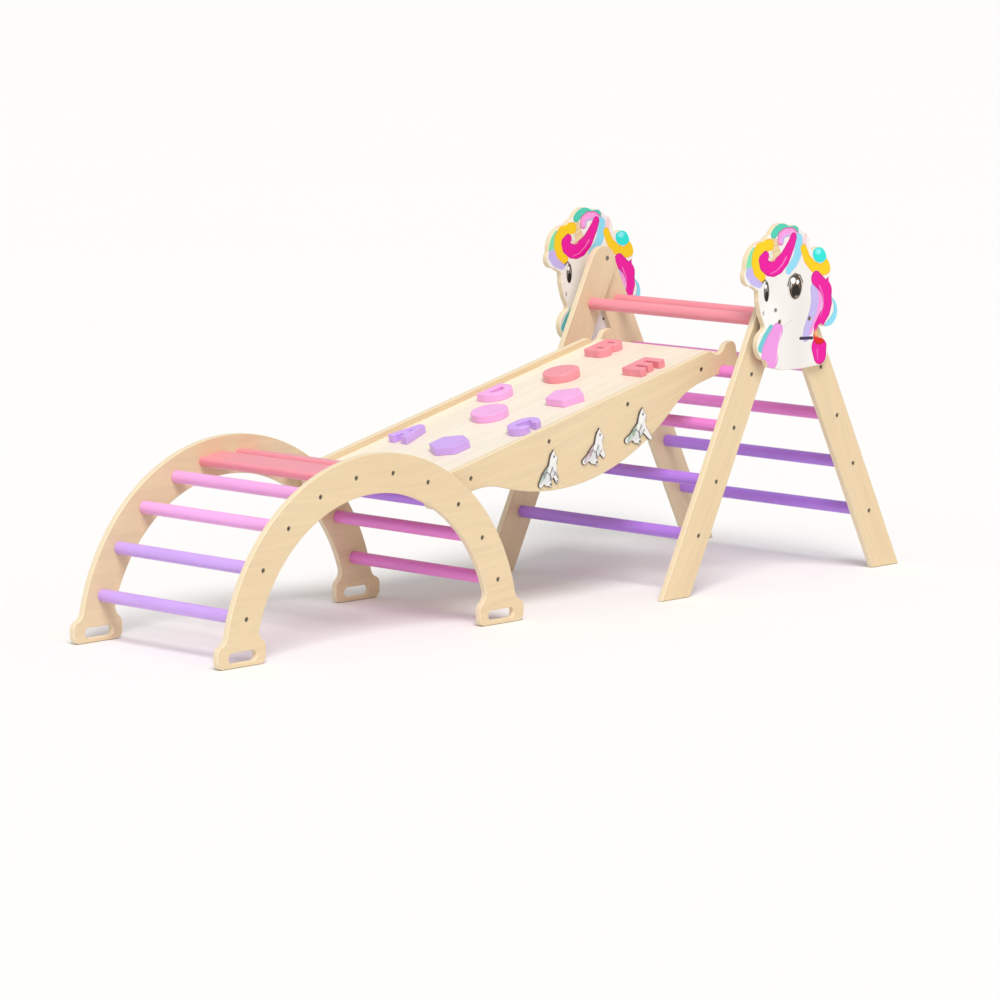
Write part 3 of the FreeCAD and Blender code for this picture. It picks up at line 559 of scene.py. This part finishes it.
def stain_nodes(context, stains, kind, along, coats=1.0):
    """Stains groups of nodes, deeper with more coats; extra coats are a painted shade on rungs that stand in
    shade.
    """
    for number, (colour, names) in enumerate(stains.items()):
        tone = [part ** coats for part in getattr(context.scene.climbing_finish, colour)]
        material = stained_wood(f"{colour} {kind}", tone, along, 0.9 * number)
        for name in names:
            wear(NODES[name], material)


class StainRungs(bpy.types.Operator):
    """Stains the rungs and planks"""

    bl_idname = "climbing_set.rungs"
    bl_label = "Stained rungs and planks"

    def execute(self, context):
        stain_nodes(context, ONE_COAT_STAINS, "light stain", ALONG_Y)
        # painted shade: the shaded rungs take the stains darkened by extra coats
        stain_nodes(context, SHADE_DARKENED_STAINS, "shade-darkened stain", ALONG_Y, context.scene.climbing_finish.shade_coats)
        return {"FINISHED"}


class StainHolds(bpy.types.Operator):
    """Stains the climbing holds"""

    bl_idname = "climbing_set.holds"
    bl_label = "Climbing holds"

    def execute(self, context):
        stain_nodes(context, HOLD_STAINS, "hold stain", UPHILL)
        return {"FINISHED"}


class PrintPanels(bpy.types.Operator):
    """Prints the pony's head on both panels"""

    bl_idname = "climbing_set.panels"
    bl_label = "Pony-head panels"

    def execute(self, context):
        material = pony_print("pony print")
        for node in named("head_panel"):
            wear(node, material)
        return {"FINISHED"}


BADGE_LOCKS = ((0.34, 0.44, 0.38), (0.62, 0.42, 0.5), (0.36, 0.52, 0.38))     # up the slope
TIP = Vector((17, 0, 39)) * MM      # tip of a badge's ear from the pony's middle
MERGE = 0.01 * MM
FLAT = math.radians(1)              # faces this near to flat are joined
OUTWARD = -0.9                      # a badge's painted face looks along -Y


def deselect_all():
    """Leaves edit mode with nothing selected."""
    if bpy.context.mode != "OBJECT":
        bpy.ops.object.mode_set(mode="OBJECT")
    bpy.ops.object.select_all(action="DESELECT")


def merged_copy(node, name):
    """A copy of a CAD node with its triangles merged, ready to be modelled on."""
    deselect_all()
    piece = node.copy()
    piece.data = node.data.copy()
    piece.name = piece.data.name = name
    for key in list(piece.keys()):
        del piece[key]
    piece.parent = None
    bpy.context.scene.collection.objects.link(piece)
    piece.select_set(True)
    bpy.context.view_layer.objects.active = piece
    bpy.ops.object.mode_set(mode="EDIT")
    bpy.ops.mesh.select_all(action="SELECT")
    bpy.ops.mesh.remove_doubles(threshold=MERGE)
    bpy.ops.mesh.dissolve_limited(angle_limit=FLAT, use_dissolve_boundaries=False)
    return piece


class MakeBadges(bpy.types.Operator):
    """Makes the three pony badges with a dark rim and a raised, painted middle"""

    bl_idname = "climbing_set.badges"
    bl_label = "Pony badges"

    def execute(self, context):
        looks = context.scene.climbing_finish
        whole = merged_copy(NODES["ramp_badges"], "pony_badges")
        bpy.ops.mesh.select_mode(type="FACE")
        bpy.ops.mesh.select_all(action="DESELECT")
        mesh = bmesh.from_edit_mesh(whole.data)
        for face in mesh.faces:
            face.select = face.normal.y < OUTWARD
        bmesh.update_edit_mesh(whole.data)
        bpy.ops.mesh.inset(thickness=looks.badge_rim, depth=0, use_even_offset=True)
        bpy.ops.mesh.extrude_region_move(TRANSFORM_OT_translate={"value": (0, -looks.badge_step, 0)})
        bpy.ops.object.mode_set(mode="OBJECT")
        wear(whole, badge_rim("badge rim"))
        low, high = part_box("ramp_badges")
        raised = low.y - looks.badge_step / 2
        width = (high.x - low.x) / len(BADGE_LOCKS)
        for number, locks in enumerate(BADGE_LOCKS):
            faces = [face for face in whole.data.polygons if int((face.center.x - low.x) / width) == number]
            spots = [whole.data.vertices[corner].co for face in faces for corner in face.vertices]
            top = max(spots, key=lambda spot: spot.z)
            centre = top - Vector((TIP.x, 0, TIP.z))
            whole.data.materials.append(badge_paint(f"badge paint {number + 1}", centre, locks))
            for face in faces:
                if face.center.y < raised:
                    face.material_index = number + 1
        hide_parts("ramp_badges")
        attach(whole, "ramp")
        return {"FINISHED"}


class FinishFixings(bpy.types.Operator):
    """Gives bolts, inserts and screws their zinc, and the sleeves their plastic"""

    bl_idname = "climbing_set.fixings"
    bl_label = "Fixings"

    def execute(self, context):
        zinc = zinc_plate("zinc plate")
        for node in named("lock_screw", "pivot_", "panel_bolts"):
            wear(node, zinc)
        for name, node in NODES.items():
            if name.endswith(("_bolts", "_inserts", "_screws")):
                wear(node, zinc)
        wear(NODES["panel_spacers"], moulded_sleeve("moulded sleeve"))
        return {"FINISHED"}


SENSOR = 36             # millimetres
VIEW_RANGE = (0.1, 500)


class SetStage(bpy.types.Operator):
    """Lays the floor and sets the lights and the camera"""

    bl_idname = "climbing_set.stage"
    bl_label = "Studio"

    def execute(self, context):
        stage = context.scene.climbing_stage
        deselect_all()
        bpy.ops.mesh.primitive_plane_add(size=stage.floor_size, location=(0, 0, -MM))
        floor = context.object
        floor.name = "floor"
        wear(floor, pale_floor("pale floor"))
        world = bpy.data.worlds.new("studio")
        context.scene.world = world
        world.use_nodes = True
        background = world.node_tree.nodes["Background"]
        background.inputs["Color"].default_value = rgba((1, 1, 1))
        background.inputs["Strength"].default_value = stage.sky
        bpy.ops.object.light_add(type="SUN", location=(-3, -2, 4))
        sun = context.object
        sun.name = "main_light"
        sun.data.energy = stage.sun
        sun.data.angle = stage.sun_softness
        sun.data.color = (1.0, 0.98, 0.95)
        sun.rotation_mode = "QUATERNION"
        sun.rotation_quaternion = Vector(stage.sun_aim).to_track_quat("-Z", "Y")
        turn = (math.pi / 2 - stage.camera_dip, 0, -stage.camera_turn)
        bpy.ops.object.camera_add(location=stage.camera_place, rotation=turn)
        camera = context.object
        camera.name = "camera"
        camera.data.lens = stage.lens
        camera.data.sensor_width = SENSOR
        camera.data.clip_start, camera.data.clip_end = VIEW_RANGE
        context.scene.camera = camera
        context.scene.view_settings.view_transform = "Standard"
        return {"FINISHED"}


class ClimbingSetPanel(bpy.types.Panel):
    """Lists the set's pieces and finishes"""

    bl_idname = "VIEW3D_PT_climbing_set"
    bl_label = "Climbing set"
    bl_space_type = "VIEW_3D"
    bl_region_type = "UI"
    bl_category = "Climbing set"

    def draw(self, context):
        for operator in OPERATORS:
            self.layout.operator(operator.bl_idname)
        for group in (context.scene.climbing_finish, context.scene.climbing_stage):
            for name in group.__annotations__:
                self.layout.prop(group, name)


OPERATORS = (FinishBoards, StainRungs, StainHolds, PrintPanels, MakeBadges, FinishFixings, SetStage)
CLASSES = (ClimbingSetFinish, ClimbingSetStage, *OPERATORS, ClimbingSetPanel)


def register():
    for kind in CLASSES:
        bpy.utils.register_class(kind)
    bpy.types.Scene.climbing_finish = PointerProperty(type=ClimbingSetFinish)
    bpy.types.Scene.climbing_stage = PointerProperty(type=ClimbingSetStage)


def unregister():
    del bpy.types.Scene.climbing_stage
    del bpy.types.Scene.climbing_finish
    for kind in reversed(CLASSES):
        bpy.utils.unregister_class(kind)


def main():
    """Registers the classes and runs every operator."""
    register()
    bpy.ops.climbing_set.boards()
    bpy.ops.climbing_set.rungs()
    bpy.ops.climbing_set.holds()
    bpy.ops.climbing_set.panels()
    bpy.ops.climbing_set.badges()
    bpy.ops.climbing_set.fixings()
    bpy.ops.climbing_set.stage()


if __name__ == "__main__":
    main()
